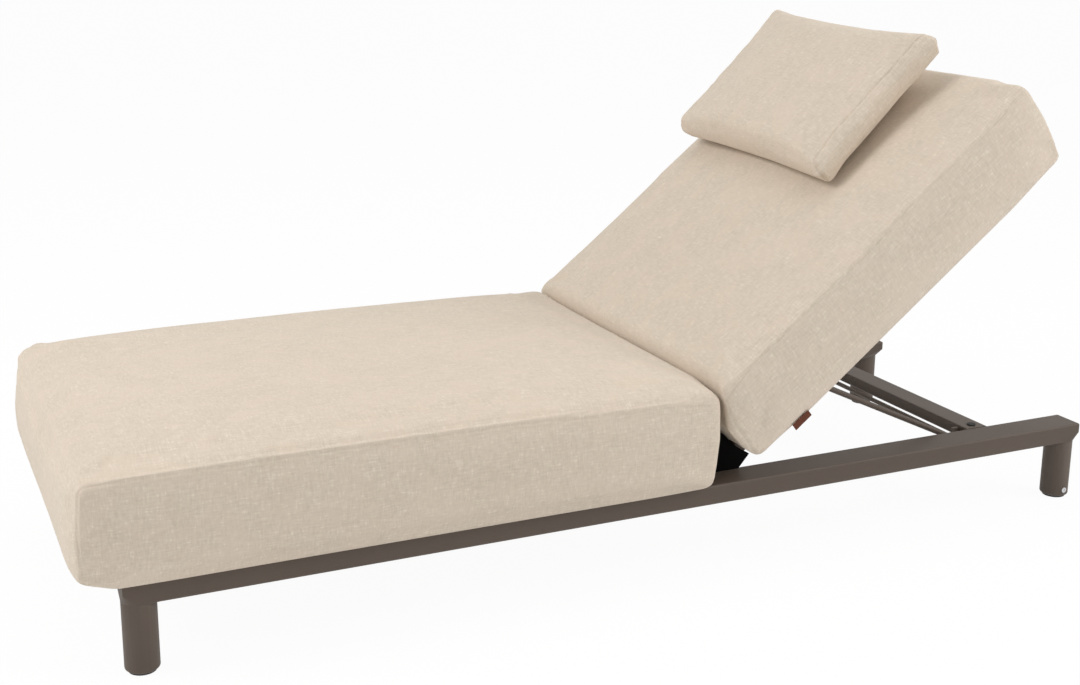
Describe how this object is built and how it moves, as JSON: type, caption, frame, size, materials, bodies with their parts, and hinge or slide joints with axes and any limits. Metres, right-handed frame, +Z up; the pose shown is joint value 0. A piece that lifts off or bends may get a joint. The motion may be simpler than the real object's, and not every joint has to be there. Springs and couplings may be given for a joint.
{
  "type": "relaxation lounger",
  "caption": "Low relaxation lounger with a slatted frame, a back that reclines on a toothed prop, thick box cushions and a loose head pillow.",
  "frame": {"origin": "bottom centre of the bounding box, on the floor midway along the lounger", "axes": "+Z up, +X towards the head end, -Y towards the lounger's left side, which faces the camera in the picture"},
  "size_m": [2.134, 0.842, 1.0247],
  "materials": {
    "frame_coat": "satin",
    "steel": "satin",
    "dark_plastic": "matte",
    "buffer_rubber": "matte",
    "cushion_fabric": "matte",
    "tab_fabric": "matte"
  },
  "bodies": {
    "frame": {"rail_left": "frame_coat", "rail_right": "frame_coat", "leg_foot_left": "frame_coat", "leg_foot_right": "frame_coat", "leg_head_left": "frame_coat", "leg_head_right": "frame_coat", "leg_glides": "dark_plastic", "leg_screws": "steel", "crossbar_foot": "frame_coat", "crossbar_mid": "frame_coat", "crossbar_head": "frame_coat", "seat_slat_1": "frame_coat", "seat_slat_2": "frame_coat", "seat_slat_3": "frame_coat", "seat_slat_4": "frame_coat", "seat_slat_5": "frame_coat", "seat_slat_6": "frame_coat", "seat_slat_7": "frame_coat", "seat_slat_8": "frame_coat", "hinge_bracket_left": "frame_coat", "hinge_bracket_right": "frame_coat", "bracket_screws": "steel", "hinge_pins": "steel", "prop_lugs": "frame_coat", "rest_buffers": "buffer_rubber", "seat_cushion": "cushion_fabric"},
    "backrest": {"back_member_left": "frame_coat", "back_member_right": "frame_coat", "hinge_bushes": "dark_plastic", "back_bar_low": "frame_coat", "back_bar_top": "frame_coat", "back_slat_1": "frame_coat", "back_slat_2": "frame_coat", "back_slat_3": "frame_coat", "back_slat_4": "frame_coat", "back_slat_5": "frame_coat", "back_slat_6": "frame_coat", "back_slat_7": "frame_coat", "rack_left": "frame_coat", "rack_right": "frame_coat", "back_end_caps": "dark_plastic", "back_cushion": "cushion_fabric", "seam_tab": "tab_fabric"},
    "prop": {"prop_arm_left": "steel", "prop_arm_right": "steel", "prop_rod_low": "steel", "prop_rod_top": "steel"},
    "pillow": {"head_pillow": "cushion_fabric"}
  },
  "joints": [
    {"name": "back_recline", "type": "hinge", "parent": "frame", "child": "backrest", "pos_m": [0.211, 0, 0.188], "axis": [0, -1, 0], "range_deg": [-38, 0]},
    {"name": "prop_swing", "type": "hinge", "parent": "frame", "child": "prop", "pos_m": [0.794, 0, 0.145], "axis": [0, 1, 0], "range_deg": [-26.06, 0]},
    {"name": "pillow_slide", "type": "slide", "parent": "backrest", "child": "pillow", "axis": [0.788, 0, 0.6157], "range_m": [-0.15, 0.03]}
  ],
  "couplings": [
    {"joint": "prop_swing", "follows": "back_recline", "ratio": 0.68533}
  ]
}
